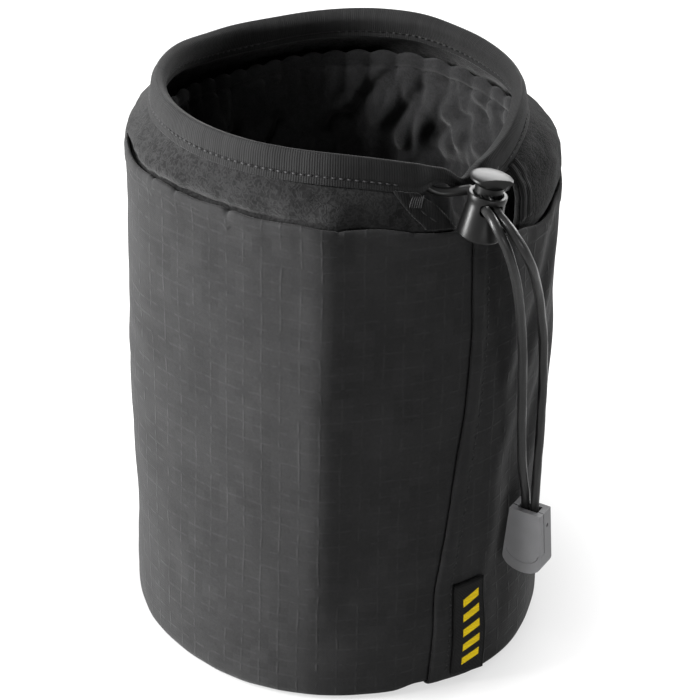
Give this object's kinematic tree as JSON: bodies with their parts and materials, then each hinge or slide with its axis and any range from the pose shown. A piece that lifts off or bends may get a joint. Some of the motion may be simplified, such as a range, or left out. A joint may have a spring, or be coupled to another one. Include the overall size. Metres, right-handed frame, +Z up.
{
  "type": "lens pouch",
  "caption": "Upright padded drawstring pouch for a camera lens: round ripstop wall, fleece collar, taped rim, elastic cord with sprung cord lock and moulded cord end.",
  "frame": {"origin": "on the pouch axis at the underside of the base", "axes": "+Z up along the pouch axis, cord lock on the side between +X and -Y"},
  "size_m": [0.1014, 0.1066, 0.141],
  "materials": {
    "ripstop": "black ripstop nylon, semi-matte",
    "fleece": "fuzzy black fleece",
    "tape": "ribbed black tape",
    "foam": "soft foam with cloth faces",
    "lining": "brushed black lining",
    "cord": "braided elastic cord",
    "tab": "woven satin tab, bare",
    "lock_plastic": "satin black moulding",
    "end_plastic": "matte grey moulding",
    "spring_steel": "bright spring wire"
  },
  "bodies": {
    "pouch": {"shell_panel": "ripstop", "base_panel": "ripstop", "base_pad": "foam", "base_lining": "lining", "wall_padding": "foam", "wall_lining": "lining", "collar": "fleece", "rim_binding": "tape", "slit_facing_left": "tape", "slit_facing_right": "tape", "label_tag": "tab", "drawcord_loop": "cord"},
    "lock": {"lock_barrel": "lock_plastic", "lock_spring": "spring_steel", "drawcord_grip_left": "cord", "drawcord_grip_right": "cord"},
    "button": {"lock_button": "lock_plastic"},
    "tail": {"tail_left": "cord", "tail_right": "cord", "tail_knot": "cord", "cord_end_front": "end_plastic", "cord_end_rear": "end_plastic"}
  },
  "joints": [
    {"name": "lock_lift", "type": "hinge", "parent": "pouch", "child": "lock", "pos_m": [0.0289, -0.03975, 0.1322], "axis": [-0.9511, -0.309, 0], "range_deg": [0, 45]},
    {"name": "button_press", "type": "slide", "parent": "lock", "child": "button", "axis": [-0.1651, -0.0537, -0.9848], "range_m": [0, 0.002], "stiffness_N_per_m": 1500, "springref_m": -0.001, "deforming": ["lock_spring"]},
    {"name": "tail_swing", "type": "hinge", "parent": "lock", "child": "tail", "pos_m": [0.03236, -0.05041, 0.1321], "axis": [-0.6159, -0.7878, 0], "range_deg": [0, 70]}
  ]
}
